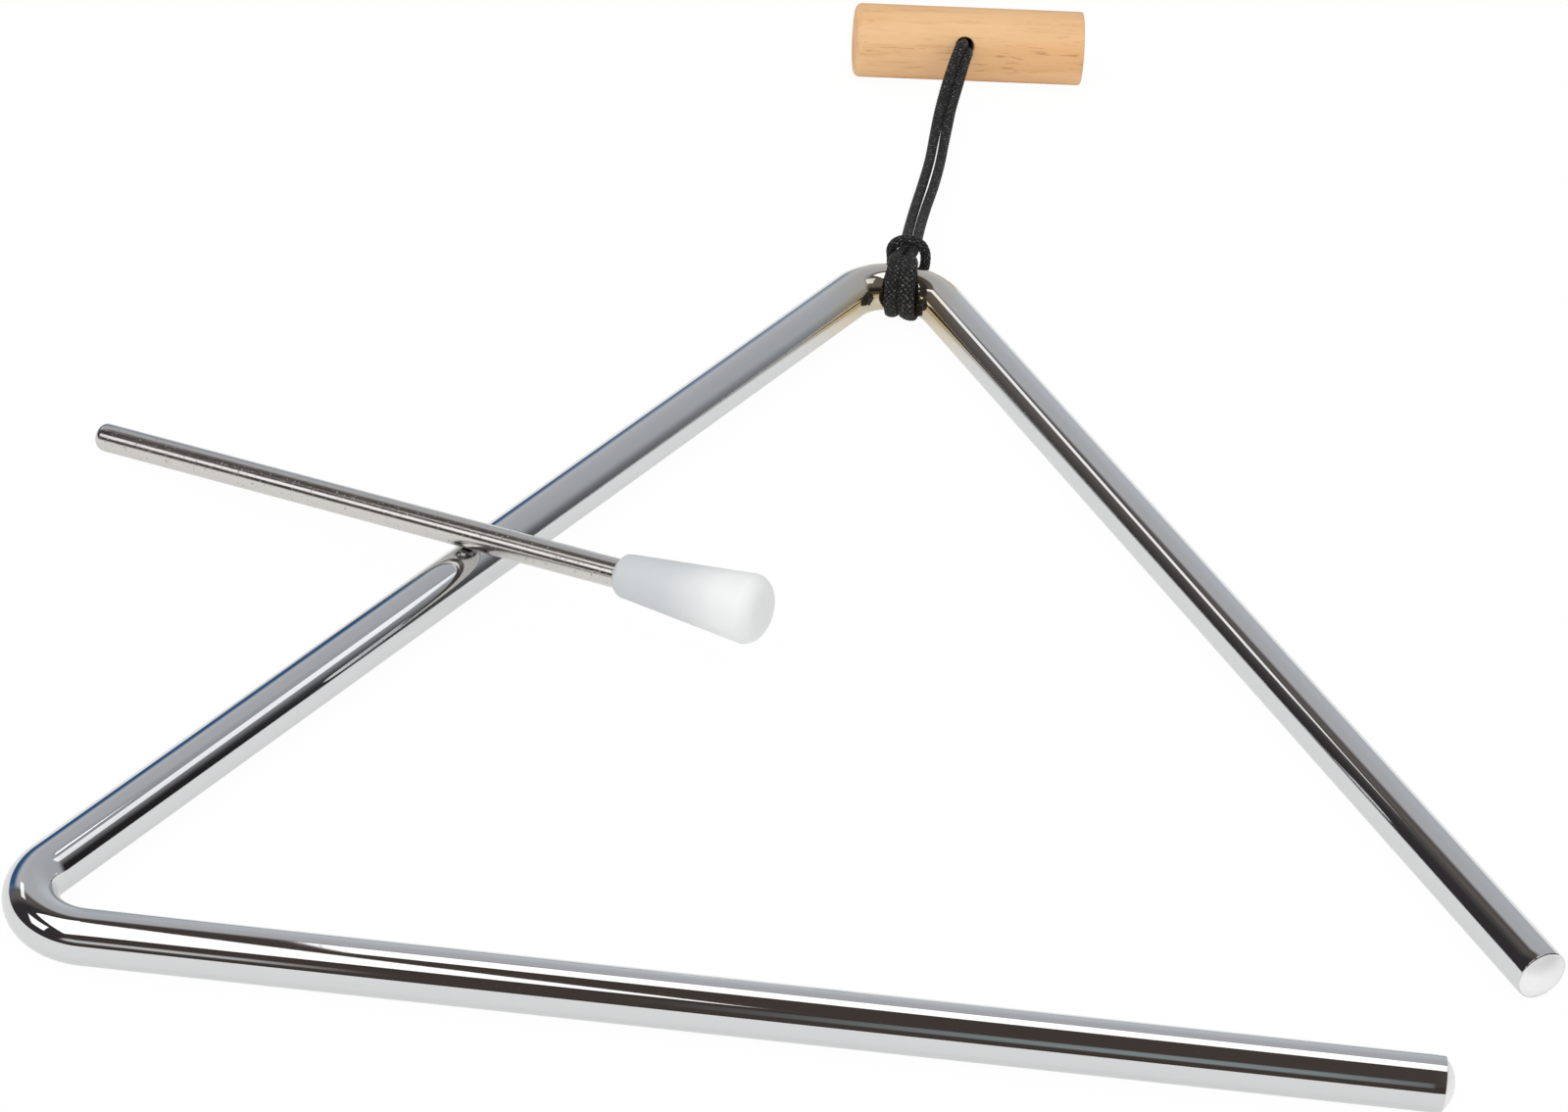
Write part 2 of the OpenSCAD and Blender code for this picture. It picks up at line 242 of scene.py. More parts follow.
class Look:
    """A material or world, whose nodes all come from one method."""

    def __init__(self, owner):
        owner.use_nodes = True
        self.owner, self.tree = owner, owner.node_tree
        self.tree.nodes.clear()

    def node(self, kind, settings=None, sockets=None, out=0):
        """Adds a node: settings first, then the values or links of its sockets. Gives the
        output that is asked for."""
        made = self.tree.nodes.new("ShaderNode" + kind)
        for key, value in (settings or {}).items():
            setattr(made, key, value)
        for key, value in (sockets or {}).items():
            if isinstance(value, Amount):
                self.tree.links.new(value.socket, made.inputs[key])
            elif isinstance(value, tuple) and made.inputs[key].type == "RGBA":
                made.inputs[key].default_value = (*value, 1)
            else:
                made.inputs[key].default_value = value
        return Amount(self, made.outputs[out]) if made.outputs else None

    def mix(self, share, first, second):
        """A colour between two, by the share of the second."""
        return self.node("Mix", {"data_type": "RGBA"}, {0: share, 6: first, 7: second}, out=2)

    def ease(self, value, low, high):
        """Smooth step of a value, from 0 at low to 1 at high."""
        return self.node("MapRange", {"interpolation_type": "SMOOTHSTEP"},
                         {"Value": value, "From Min": low, "From Max": high})

    def noise(self, vector, scale, detail=2.0, rough=0.5):
        """Even grain with a mean near one half."""
        return self.node("TexNoise", None, {"Vector": vector, "Scale": scale,
                                            "Detail": detail, "Roughness": rough})

    def put_on(self, piece):
        """Gives a piece this material as its only one."""
        piece.data.materials.clear()
        piece.data.materials.append(self.owner)


strand_end = 1.2 * mm
cord_points = np.vstack((
    [hole_point(left_seat, out) for out in (-knot_face - strand_end, -knot_face, 0)],
    hole_point(left_mouth, handle_r),
    left_route[::-1] * mm + top_on_table,
    lean_up(hitch_route * mm + top_at),
    right_route * mm + top_on_table,
    hole_point(right_mouth, handle_r),
    [hole_point(right_seat, out) for out in (0, -knot_face, -knot_face - strand_end)]))
cord_step = 0.1 * mm
cord_path, cord_run = smooth_path(cord_points, cord_step)

# Near the top bend the cord is pushed out to the bar's surface and pressed flat on it
near_reach, near_fade, braid_gap = 12 * mm, 4 * mm, 0.03 * mm
press_reach, press_fade = 0.45 * mm, 0.5 * mm
flat_path = (cord_path - corner_at - (0, 0, bar_r)) @ tilt.T - top_at
from_bend = flat_path * (1, 1, 0) + (0, bend_r, 0)
bar_middle = unit(from_bend) * bend_r - (0, bend_r, 0)
off_bar = flat_path - bar_middle
bar_gap = np.linalg.norm(off_bar, axis=1, keepdims=True)
near_bar = np.clip((near_reach - np.abs(flat_path[:, 1:2])) / near_fade, 0, 1)
wide = np.interp(flat_path[:, :1], (-0.4 * mm, 1.1 * mm), (left_wide, right_wide))
thick = np.interp(flat_path[:, 2:], (-3.9 * mm, -2.6 * mm), (under_thick, flat_thick))
rest_r = bar_r + thick / 2 + braid_gap
pushed = np.where(bar_gap < rest_r, bar_middle + off_bar * rest_r / bar_gap, flat_path)
pressed = np.clip((bar_r + cord_r + press_reach - bar_gap) / press_fade, 0, 1)
pressed = soften(pressed, 8)
cord_path = soften(lean_up(pushed + top_at), 3)

forward = unit(np.gradient(cord_path, axis=0))
outward = near_bar * (unit(off_bar) @ tilt) + (1 - near_bar) * (0, 0, 1)
outward = soften(outward, 10)
outward = unit(outward - forward * (outward * forward).sum(1, keepdims=True))
sideways = np.cross(forward, outward)
from_hole = np.linalg.norm(cord_path - hole_at, axis=1, keepdims=True)
squeeze_reach, squeeze_fade = handle_r + 1.5 * mm, 1 * mm
in_hole = np.clip((squeeze_reach - from_hole) / squeeze_fade, 0, 1)
# The strands are a little thicker where they press against each other near the handle
swell_most, swell_reach, swell_fade = 0.09 * mm, 31 * mm, 7 * mm
swell = swell_most * np.clip((swell_reach - from_hole) / swell_fade, 0, 1)
round_r = cord_r + swell + (squeezed_r - cord_r - swell) * in_hole
half_wide = round_r + pressed * (wide / 2 - round_r)
half_thick = round_r + pressed * (thick / 2 - round_r)

yarns, plait = 8, 0.72 * mm
yarn_rise = 0.1 * mm


def braid(share, run):
    """Height of the braid, 0 to 1. Two families of yarns wind both ways round the cord, and
    in each cell where they cross, the one on top bulges: nearly evenly along itself, and
    like a half circle across itself."""
    one, other = yarns * share + run / plait, yarns * share - run / plait
    on_top = (np.floor(one) + np.floor(other)) % 2 < 0.5
    across, along = np.abs(np.sin(np.pi * one)), np.abs(np.sin(np.pi * other))
    across, along = np.where(on_top, across, along), np.where(on_top, along, across)
    return across ** 0.8 * along ** 0.4


def braided(name, path, run, wide, thick, side_way, out_way, sides=36):
    """Ellipses round a path, with the braid's height added: wide and thick are their half
    axes. The braid's height is kept as an attribute for the material."""
    angle = 2 * np.pi * np.arange(sides) / sides
    height = braid(angle[None] / (2 * np.pi), run[:, None])
    rise = yarn_rise * (height - 0.35)
    grid = (path[:, None]
            + side_way[:, None] * ((wide + rise) * np.cos(angle))[..., None]
            + out_way[:, None] * ((thick + rise) * np.sin(angle))[..., None])
    piece = surface(name, grid, run)
    heights = piece.data.attributes.new("braid", "FLOAT", "POINT")
    heights.data.foreach_set("value", np.append(height.ravel(), (0.5, 0.5)).astype(np.float32))
    return piece


cord = braided("hanging_cord", cord_path, cord_run, half_wide, half_thick, sideways, outward)

cord_look = Look(bpy.data.materials.new("black_braid"))
height = cord_look.node("Attribute", {"attribute_name": "braid"}, out="Fac")
place = cord_look.node("TexCoord", out="Object")
fibres = cord_look.noise(place, 9000.0, 3.0, 0.6)
flecks = cord_look.ease(cord_look.noise(place, 3600.0, 1.0), 0.55, 0.68)
# Painted shade: by the braid's height, the valleys between the yarns are darkened and the yarn
# tops stay lighter, with the fibres' random tone mixed in. The grey flecks show only on the
# tops.
out_of_painted_shade = cord_look.ease(height * (0.55 + 0.9 * fibres), 0.25, 1.0)
yarn_colour = cord_look.mix(out_of_painted_shade, (0.002, 0.002, 0.002), (0.021, 0.02, 0.02))
yarn_colour = cord_look.mix(flecks * out_of_painted_shade * 0.75, yarn_colour, (0.27, 0.26, 0.25))
fuzz = cord_look.node("Bump", None, {"Strength": 0.35, "Distance": 0.04 * mm, "Height": fibres})
cord_look.node("OutputMaterial", None, {"Surface": cord_look.node(
    "BsdfPrincipled", None, {"Base Color": yarn_colour, "Roughness": 0.55 + 0.3 * fibres,
                             "Normal": fuzz, "Sheen Weight": 0.05, "Specular IOR Level": 0.3})})
cord_look.put_on(cord)
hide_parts("cord_hitch", "cord_strand_left", "cord_strand_right")
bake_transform(cord)

# Stopper knot
# The two cord ends are tied behind the handle into one hard overhand knot, wider than the
# hole, and their cut and melted tails lie on the table.
knot_r, knot_core, knotted_r = 1.5 * mm, 4.4 * mm, 0.7 * mm
dive_depth, dive_r, dive_turn = 3.2 * mm, 0.5 * mm, 0.9
tail_l, tail_turn, tail_starts, tail_lies = 5 * mm, math.radians(16), 2.9 * mm, 4.6 * mm
melted_l, melted_round = 0.6 * mm, 0.62 * mm


def knot_point(out, ring, turn):
    """A place in the knot: so far behind its face, out from its middle line at an angle."""
    return (hole_at - (knot_face + out) * hole_out
            + ring * (np.cos(turn) * handle_way + np.sin(turn) * hole_up))


def knotted(name, seat, start_turn, spin, first, last, tail_side):
    """One end's part of the knot: it comes from the hole, winds once and a quarter round
    the other, dives under its own turn and leaves as a tail along the table."""
    turns = start_turn + spin * np.linspace(0, 2.5 * np.pi, 11)
    depths = np.linspace(first, last, 11) * mm
    winding = [knot_point(out, knot_r, turn) for out, turn in zip(depths, turns)]
    middle = knot_point(2 * mm, 0, 0)
    back = np.array((math.sin(tail_side * tail_turn), math.cos(tail_side * tail_turn), 0))
    on_table = np.array((middle[0], middle[1], cord_r + 0.1 * mm))
    points = np.vstack((hole_point(seat, -knot_face + 1.5 * mm), winding,
                        knot_point(dive_depth, dive_r, turns[-1] + spin * dive_turn),
                        on_table + back * tail_starts, on_table + back * tail_lies,
                        on_table + back * (tail_l + knot_core / 2)))
    path, run = smooth_path(points, 0.14 * mm)
    forward = unit(np.gradient(path, axis=0))
    out_way = path - hole_at - np.outer((path - hole_at) @ hole_out, hole_out) + (0, 0, mm / 4)
    out_way = soften(unit(out_way), 10)
    out_way = unit(out_way - forward * (out_way * forward).sum(1, keepdims=True))
    into_end = (run - run[-1] + melted_l).clip(0) / melted_round
    blunt = np.sqrt(np.clip(1 - into_end ** 2, 0.02, 1))
    radius = (knotted_r * blunt)[:, None]
    return braided(name, path, run, radius, radius, np.cross(forward, out_way), out_way, 32)


knot_left = knotted("knot_left", left_seat, math.radians(200), 1, 0.75, 2.3, -1)
knot_right = knotted("knot_right", right_seat, math.radians(20), -1, 1.6, 3.2, 1)
for knot in (knot_left, knot_right):
    cord_look.put_on(knot)
    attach(knot, "hanger")
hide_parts("stopper_knot")
tuple(hole_point(left_seat, -handle_r))

# Triangle bar
# One round steel bar, 7 mm thick, bent twice on an 8 mm radius and crowned at its two ends.
# It is polished along its length, its crowned ends are blasted, and it is chrome plated.
open_arm = closed_side - open_short + corner_in
crown_h, edge_break = 1.4 * mm, 0.14 * mm
shoulder_l, shoulder_drop = 1.6 * mm, 0.05 * mm
bar_sides, arm_rings, side_rings, bend_rings = 96, 90, 100, 61


def bar_centres():
    """Middle line of the bar, flat: an open arm, a bend, the closed side, a bend and the
    other open arm. A bend is an arc whose ends touch both arms' lines."""
    def stretch(a, b, n):
        return a + (b - a) * np.linspace(0, 1, n)[:, None]

    def arc(middle, start, end):
        turn = np.radians(np.linspace(start, end, bend_rings))[:, None]
        return middle + bend_r * np.concatenate((np.cos(turn), np.sin(turn), 0 * turn), axis=1)

    up_left = np.array((math.cos(corner), math.sin(corner), 0))
    down_right = up_left * (1, -1, 1)
    peak = mid_side * up_left
    along_x = np.array((1.0, 0, 0))
    barrel = open_arm - crown_h
    parts = [stretch(along_x * barrel, along_x * bend_run, arm_rings),
             arc(np.array((bend_run, bend_r, 0)), 270, 150),
             stretch(up_left * bend_run, up_left * (mid_side - bend_run), side_rings),
             arc(peak - (0, 2 * bend_r, 0), 150, 30),
             stretch(peak + down_right * bend_run, peak + down_right * barrel, arm_rings)]
    return np.vstack([p if k == 0 else p[1:] for k, p in enumerate(parts)])


def crowned_ring_radii():
    """Steps past the barrel's end, and each one's radius: a shoulder that the polishing
    wore down by a parabola, a short bevel, then the crowned face, which is a shallow dome
    of height crown_h over the bevel's inner edge."""
    worn_r = bar_r - shoulder_drop
    inner = worn_r - edge_break
    dome_r = (inner ** 2 + crown_h ** 2) / (2 * crown_h)
    share = np.append(np.linspace(0, 0.9, 7), 0.97)
    shoulder = np.stack((shoulder_l * (share - 1), bar_r - shoulder_drop * share ** 2), axis=1)
    bevel_l = edge_break * 0.6
    bevel = np.array(((0, worn_r), (0.02 * mm, worn_r - 0.01 * mm), (bevel_l, inner),
                      (bevel_l + 0.01 * mm, inner - 0.02 * mm)))
    angle = np.linspace(math.asin((inner - 0.06 * mm) / dome_r), 0.002, 24)
    dome = np.stack((dome_r * np.cos(angle) - dome_r + crown_h, dome_r * np.sin(angle)), axis=1)
    return np.vstack((shoulder, bevel, dome))


centres = bar_centres()
ways = unit(np.gradient(centres, axis=0))
past = crowned_ring_radii()
first_cap = centres[0] - ways[0] * past[::-1, :1]
last_cap = centres[-1] + ways[-1] * past[:, :1]
centres = np.vstack((first_cap, centres[1:-1], last_cap))
ways = np.vstack((np.repeat(ways[:1], len(past), axis=0), ways[1:-1],
                  np.repeat(ways[-1:], len(past), axis=0)))
barrel_radii = np.full(len(centres) - 2 * len(past), bar_r)
radii = np.concatenate((past[::-1, 1], barrel_radii, past[:, 1]))
angle = 2 * np.pi * np.arange(bar_sides) / bar_sides
in_plane = np.cross(ways, (0, 0, 1.0))
bar_grid = (centres[:, None] + radii[:, None, None]
            * (in_plane[:, None] * np.cos(angle)[None, :, None]
               + np.array((0, 0, 1.0)) * np.sin(angle)[None, :, None]))
bar_run = np.append(0, np.cumsum(np.linalg.norm(np.diff(centres, axis=0), axis=1)))
bar = surface("chromed_bar", lean_up(bar_grid.reshape(-1, 3)).reshape(bar_grid.shape), bar_run)

# The chrome is tinted warm in the hollow of the top bend, and a little round it. The blasted
# ends are pale and dull.
chrome = Look(bpy.data.materials.new("chrome"))
place = chrome.node("TexCoord", out="Object")
around = chrome.node("UVMap", {"uv_map": "around"})
share = chrome.node("SeparateXYZ", None, {0: around}, out="X")
length = chrome.node("SeparateXYZ", None, {0: around}, out="Y")
inward = chrome.node("Math", {"operation": "COSINE"}, {0: share * (2 * math.pi) + 0.45})
bend_middle = tuple(top_on_table + (0, 0, bar_r + under_bar))
from_top = chrome.node("VectorMath", {"operation": "DISTANCE"}, {0: place, 1: bend_middle},
                       out="Value")
warm = (chrome.ease(from_top, 27 * mm, 8 * mm) * chrome.ease(inward, 0.0, 0.7)
        + 0.4 * chrome.ease(from_top, 18 * mm, 7 * mm))
face_from, face_to = crown_h + 0.01 * mm, crown_h - 0.1 * mm
blasted = chrome.ease(length, face_from, face_to) + chrome.ease(
    length, bar_run[-1] - face_from, bar_run[-1] - face_to)
metal = chrome.mix(warm, (0.66, 0.665, 0.67), (0.68, 0.6, 0.45))
metal = chrome.mix(blasted, metal, (0.86, 0.86, 0.86))
ripple = chrome.noise(place, 60.0, 2.0)
scratch = chrome.noise(place, 2500.0, 4.0, 0.7)
pits = chrome.ease(chrome.noise(place, 1500.0, 1.0), 0.7, 0.78)
uneven = chrome.node("Bump", None, {"Strength": 1.0, "Distance": 0.008 * mm, "Height": ripple})
uneven = chrome.node("Bump", None, {"Strength": 0.5, "Distance": 0.0006 * mm,
                                    "Height": scratch - pits, "Normal": uneven})
chrome.node("OutputMaterial", None, {"Surface": chrome.node(
    "BsdfPrincipled", None, {"Base Color": metal, "Metallic": 1 - 0.6 * blasted,
                             "Roughness": 0.03 + 0.05 * pits + 0.02 * scratch + 0.4 * blasted,
                             "Normal": uneven})})
chrome.put_on(bar)
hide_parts("triangle_bar")
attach(bar, "triangle")

# Wooden handle
# A 12 mm beech dowel, sawn and sanded, bare of varnish. A 3 mm hole goes through it from
# the front. Its left end is rounded more than its right end, which is sawn slightly off square.
left_edge, right_edge, mouth_edge = 1.0 * mm, 0.5 * mm, 0.25 * mm
off_square, sawn_l = 0.33 * mm, 3 * mm
window, window_cells, handle_sides = 3 * mm, 16, 96


def dowel_point(x, turn, radius):
    """Place in the dowel: along it, turned from the hole's way out towards its up."""
    return (handle_at + x[..., None] * handle_way
            + (radius * np.cos(turn))[..., None] * hole_out
            + (radius * np.sin(turn))[..., None] * hole_up)


def mouth_point(x, y, side, depth):
    """Place by the hole: on the dowel's round surface, sunk by a depth along the hole."""
    out = side * (np.sqrt(handle_r ** 2 - y ** 2) - depth)
    return (hole_at + x[..., None] * handle_way + out[..., None] * hole_out
            + y[..., None] * hole_up)


def dowel():
    """Rings along the dowel with rounded end edges. A square window in front and one behind
    are left out, and each is filled by rings that go from the square to the hole's circle,
    then over its rounded mouth. A straight wall joins the two circles."""
    half = handle_l / 2
    bow = np.linspace(0, np.pi / 2, 7)
    inset = np.linspace(0, 1, 8)[1:]
    left = [(-half, (handle_r - left_edge) * s) for s in inset]
    left += [(-half + left_edge * (1 - np.cos(a)), handle_r - left_edge * (1 - np.sin(a)))
             for a in bow[1:]]
    right = [(half - right_edge * (1 - np.sin(a)), handle_r - right_edge * (1 - np.cos(a)))
             for a in bow]
    right += [(half, (handle_r - right_edge) * s) for s in inset[:-1][::-1]]
    before = np.linspace(-half + left_edge, -hole_off - window, 14)[1:-1]
    across = np.linspace(-hole_off - window, -hole_off + window, window_cells + 1)
    after = np.linspace(-hole_off + window, half - right_edge, 14)[1:-1]
    middle = [(x, handle_r) for x in (*before, *across, *after)]
    profile = np.array(left + middle + right)
    rows, first = len(profile), len(left) + len(before)
    turn = 2 * np.pi * (np.arange(handle_sides) - window_cells // 2) / handle_sides
    x, radius = (profile[:, k:k + 1] + 0 * turn for k in (0, 1))
    near_right = np.clip((x - half + sawn_l) / sawn_l, 0, 1)
    x = x - off_square * near_right * (1 + np.cos(turn) * radius / handle_r)
    rings = dowel_point(x, turn + 0 * x, radius)
    i, j = np.meshgrid(np.arange(rows - 1), np.arange(handle_sides), indexing="ij")
    in_rows = (i >= first) & (i < first + window_cells)
    kept = ~(in_rows & (j % (handle_sides // 2) < window_cells))
    faces = ring_faces(i[kept], j[kept], handle_sides).tolist()
    points = [rings.reshape(-1, 3), rings[0].mean(0)[None], rings[-1].mean(0)[None]]
    ring_points = rows * handle_sides
    for end in (0, 1):
        faces += fan_faces(end * (rows - 1) * handle_sides, ring_points + end,
                           handle_sides).tolist()
    # Square's edge points in order, in the hole's own plane
    u = np.linspace(-1, 1, window_cells + 1)[:-1]
    one = np.ones(window_cells)
    edge_x = window * np.concatenate((u, one, -u, -one))
    window_turn = np.arcsin(window / handle_r)
    edge_y = handle_r * np.sin(window_turn * np.concatenate((-one, u, one, -u)))
    round_turn = np.arctan2(edge_y, edge_x)
    ring_size = len(edge_x)
    steps = np.linspace(0, 1, 8)[:, None]
    wide_r = hole_r + mouth_edge
    fill_x = edge_x * (1 - steps) + wide_r * np.cos(round_turn) * steps
    fill_y = edge_y * (1 - steps) + wide_r * np.sin(round_turn) * steps
    sink = np.linspace(0, np.pi / 2, 6)[1:, None]
    rim_r = wide_r - mouth_edge * np.sin(sink)
    fill_x = np.vstack((fill_x, rim_r * np.cos(round_turn)))
    fill_y = np.vstack((fill_y, rim_r * np.sin(round_turn)))
    depth = np.concatenate((0 * steps[:, 0], mouth_edge * (1 - np.cos(sink[:, 0]))))[:, None]
    front = mouth_point(fill_x, fill_y, 1, depth + 0 * fill_x)
    behind = mouth_point(fill_x, fill_y, -1, depth + 0 * fill_x)
    tunnel = front[-1] + np.linspace(0, 1, 9)[1:-1, None, None] * (behind[-1] - front[-1])
    sleeve = np.concatenate((front, tunnel, behind[::-1]))
    i, j = np.meshgrid(np.arange(len(sleeve) - 1), np.arange(ring_size), indexing="ij")
    faces += (ring_points + 2 + ring_faces(i, j, ring_size)).tolist()
    points.append(sleeve.reshape(-1, 3))
    mesh = bpy.data.meshes.new("handle")
    mesh.from_pydata(np.vstack(points).tolist(), [], faces)
    shape = bmesh.new()
    shape.from_mesh(mesh)
    bmesh.ops.remove_doubles(shape, verts=shape.verts, dist=1e-6)
    shape.to_mesh(mesh)
    shape.free()
    return finish_mesh("wooden_dowel", mesh)


handle = dowel()

beech = Look(bpy.data.materials.new("beech"))
place = beech.node("TexCoord", out="Object")
place = beech.node("Mapping", {"vector_type": "TEXTURE"},
                   {"Vector": place, "Location": tuple(handle_at),
                    "Rotation": (0.35, 0, handle_turn)})
long_grain = beech.node("VectorMath", {"operation": "MULTIPLY"},
                        {0: place, 1: (0.09, 1, 1)})
broad = beech.noise(long_grain, 260.0, 3.0, 0.55)
streak = beech.noise(long_grain, 900.0, 3.0, 0.6)
pores = beech.noise(beech.node("VectorMath", {"operation": "MULTIPLY"},
                               {0: place, 1: (0.12, 1, 1)}), 2600.0, 2.0, 0.6)
dashes = beech.ease(pores, 0.57, 0.7) * beech.ease(broad, 0.3, 0.55)
wood = beech.mix(beech.ease(broad, 0.3, 0.7), (0.75, 0.475, 0.25), (0.68, 0.39, 0.18))
wood = beech.mix(beech.ease(streak, 0.5, 0.75) * 0.45, wood, (0.56, 0.30, 0.13))
wood = beech.mix(dashes * 0.65, wood, (0.40, 0.195, 0.085))
relief = beech.node("Bump", None, {"Strength": 0.5, "Distance": 0.05 * mm,
                                   "Height": streak * 0.5 - dashes})
beech.node("OutputMaterial", None, {"Surface": beech.node(
    "BsdfPrincipled", None, {"Base Color": wood, "Roughness": 0.62 + 0.15 * streak,
                             "Normal": relief, "Specular IOR Level": 0.3})})
beech.put_on(handle)
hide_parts("wooden_handle")
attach(handle, "handle")

# Beater rod
# A straight 4 mm steel rod, cut and tumbled round at its free end and nickel plated. It
# lies over the closed side, with its free end down on the table.
rod_r, rod_l, rod_edge = 2 * mm, 100 * mm, 1.3 * mm
grip_l, grip_seat = 22 * mm, 14 * mm
rest_gap, cross_l, beater_out = 0.1 * mm, 98 * mm, 61.5 * mm
beater_turn = math.radians(-25)
side_way = np.array((math.cos(corner), math.sin(corner) * math.cos(lean),
                     math.sin(corner) * math.sin(lean)))


def rod_way(pitch):
    """The beater's direction from its free end, turned on the table and pitched up."""
    return np.array((math.cos(beater_turn) * math.cos(pitch),
                     math.sin(beater_turn) * math.cos(pitch), math.sin(pitch)))


def rod_crossing(pitch):
    """Middle of the rod where it lies on the closed side, square to both."""
    lift = unit(np.cross(rod_way(pitch), side_way)) * (bar_r + rod_r + rest_gap)
    return corner_at + (0, 0, bar_r) + cross_l * side_way + lift


pitch = 0.0
for _ in range(8):
    drop = rod_crossing(pitch)[2] - rod_edge - (rod_r - rod_edge) * math.cos(pitch)
    pitch = math.asin(drop / (beater_out - rod_edge))
beater_way = rod_way(pitch)
rod_tip = rod_crossing(pitch) - beater_out * beater_way
beater_side = unit(np.cross(beater_way, (0, 0, 1.0)))
beater_up = np.cross(beater_side, beater_way)


def turned(name, profile, sides=72):
    """A shape turned about the beater's middle line: each profile point is a length from
    the rod's free end and a radius, and it becomes a ring."""
    profile = np.array(profile)
    angle = 2 * np.pi * np.arange(sides) / sides
    grid = (rod_tip + profile[:, :1, None] * beater_way
            + profile[:, 1:, None] * (np.cos(angle)[None, :, None] * beater_side
                                      + np.sin(angle)[None, :, None] * beater_up))
    run = np.append(0, np.cumsum(np.linalg.norm(np.diff(profile, axis=0), axis=1)))
    return surface(name, grid, run)


def corner_arc(length, radius, edge, start, end, steps):
    """Points of a quarter round, from one angle to another about its own middle."""
    turn = np.radians(np.linspace(start, end, steps))
    return [(length + edge * math.cos(a), radius + edge * math.sin(a)) for a in turn]


pole_r, tip_flat_r, inner_edge = 0.02 * mm, 0.35 * mm, 0.3 * mm
tip_round = corner_arc(rod_edge, rod_r - rod_edge, rod_edge, 180, 90, 14)
inner_round = corner_arc(rod_l - inner_edge, rod_r - inner_edge, inner_edge, 90, 0, 5)
rod = turned("nickel_rod", [(0, pole_r), (0, tip_flat_r)] + tip_round
             + [(x, rod_r) for x in np.linspace(3 * mm, rod_l - 2 * mm, 60)]
             + inner_round + [(rod_l, pole_r)])

nickel = Look(bpy.data.materials.new("nickel"))
place = nickel.node("TexCoord", out="Object")
orange = nickel.noise(place, 700.0, 3.0, 0.6)
specks = nickel.ease(nickel.noise(place, 2600.0, 1.0), 0.66, 0.74)
haze = nickel.noise(place, 240.0, 3.0)
rough_face = nickel.node("Bump", None, {"Strength": 1.0, "Distance": 0.008 * mm,
                                        "Height": orange - 1.5 * specks})
nickel.node("OutputMaterial", None, {"Surface": nickel.node(
    "BsdfPrincipled", None,
    {"Base Color": nickel.mix(specks * 0.6, (0.62, 0.605, 0.575), (0.22, 0.2, 0.19)),
     "Metallic": 1.0, "Roughness": 0.13 + 0.1 * haze + 0.15 * specks, "Normal": rough_face})})
nickel.put_on(rod)
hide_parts("beater_rod")
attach(rod, "beater")

# Beater grip
# A tapered grip of milky white polyethylene, moulded round the rod's end. The steel inside
# shows faintly through its thin part.
thin_r, thick_r = 3 * mm, 4.75 * mm
thin_edge, thick_edge, face_rise = 1.3 * mm, 2.4 * mm, 0.1 * mm
seat_r, mouth_step, mouth_flare = rod_r + 0.005 * mm, 0.2 * mm, 0.15 * mm
grip_from = rod_l - grip_seat
grip_to = grip_from + grip_l
thin_round = corner_arc(grip_from + thin_edge, thin_r - thin_edge, thin_edge, 180, 96, 12)
thick_round = corner_arc(grip_to - thick_edge, thick_r - thick_edge, thick_edge, 84, 0, 12)
face_dome = [(grip_to + face_rise * (1 - s * s), (thick_r - thick_edge) * s)
             for s in np.linspace(1, 0.01, 8)[1:]]
seat = [(rod_l, pole_r), (rod_l, seat_r), (grip_from + mouth_step, seat_r),
        (grip_from, seat_r + mouth_flare)]
grip = turned("milky_grip", seat + thin_round + thick_round + face_dome)

milk = Look(bpy.data.materials.new("milky_plastic"))
place = milk.node("TexCoord", out="Object")
from_tip = milk.node("VectorMath", {"operation": "DOT_PRODUCT"},
                     {0: milk.node("VectorMath", {"operation": "SUBTRACT"},
                                   {0: place, 1: tuple(rod_tip)}),
                      1: tuple(beater_way)}, out="Value")
cloud = milk.noise(place, 180.0, 2.0)
clear_part = milk.ease(from_tip + 4 * mm * cloud, rod_l - 5 * mm, rod_l + 6.5 * mm)
plastic = milk.mix(clear_part, (0.54, 0.56, 0.572), (0.735, 0.74, 0.74))
skin = milk.node("Bump", None, {"Strength": 0.3, "Distance": 0.02 * mm,
                                "Height": milk.noise(place, 1400.0, 3.0)})
milk.node("OutputMaterial", None, {"Surface": milk.node(
    "BsdfPrincipled", None, {"Base Color": plastic, "Roughness": 0.42 + 0.12 * cloud,
                             "Normal": skin, "Subsurface Weight": 0.5,
                             "Subsurface Radius": (4 * mm, 4 * mm, 4 * mm),
                             "Subsurface Scale": 1.0, "Specular IOR Level": 0.35})})
milk.put_on(grip)
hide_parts("beater_grip")
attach(grip, "beater")

# Table, studio and lamps
# A white table in a dim room, lit by five soft boxes. The metal mirrors the room's pale back
# wall, its blue door on the left, and a grey shelf and a low window behind the camera. The
# table's top keeps the object's shadow, and the camera sees plain white beyond it.
table_reach, table_top, lamp_height = 3.0, -0.05 * mm, 0.8
table_mesh = bpy.data.meshes.new("table")
table_mesh.from_pydata([(x * table_reach, y * table_reach, table_top)
                        for x, y in ((-1, -1), (1, -1), (1, 1), (-1, 1))], [], [(0, 1, 2, 3)])
table = bpy.data.objects.new("table", table_mesh)
bpy.context.scene.collection.objects.link(table)
white = Look(bpy.data.materials.new("white_table"))
camera_ray = white.node("LightPath", out="Is Camera Ray")
glossy_ray = white.node("LightPath", out="Is Glossy Ray")
seen = 0.97 * camera_ray + 0.59 * glossy_ray
lit = white.node("BsdfDiffuse", None, {"Color": (0.9, 0.9, 0.9)})
plain = white.node("Emission", None, {"Color": (1, 1, 1), "Strength": 1.0})
white.node("OutputMaterial", None,
           {"Surface": white.node("MixShader", None, {0: seen, 1: lit, 2: plain})})
table_mesh.materials.append(white.owner)

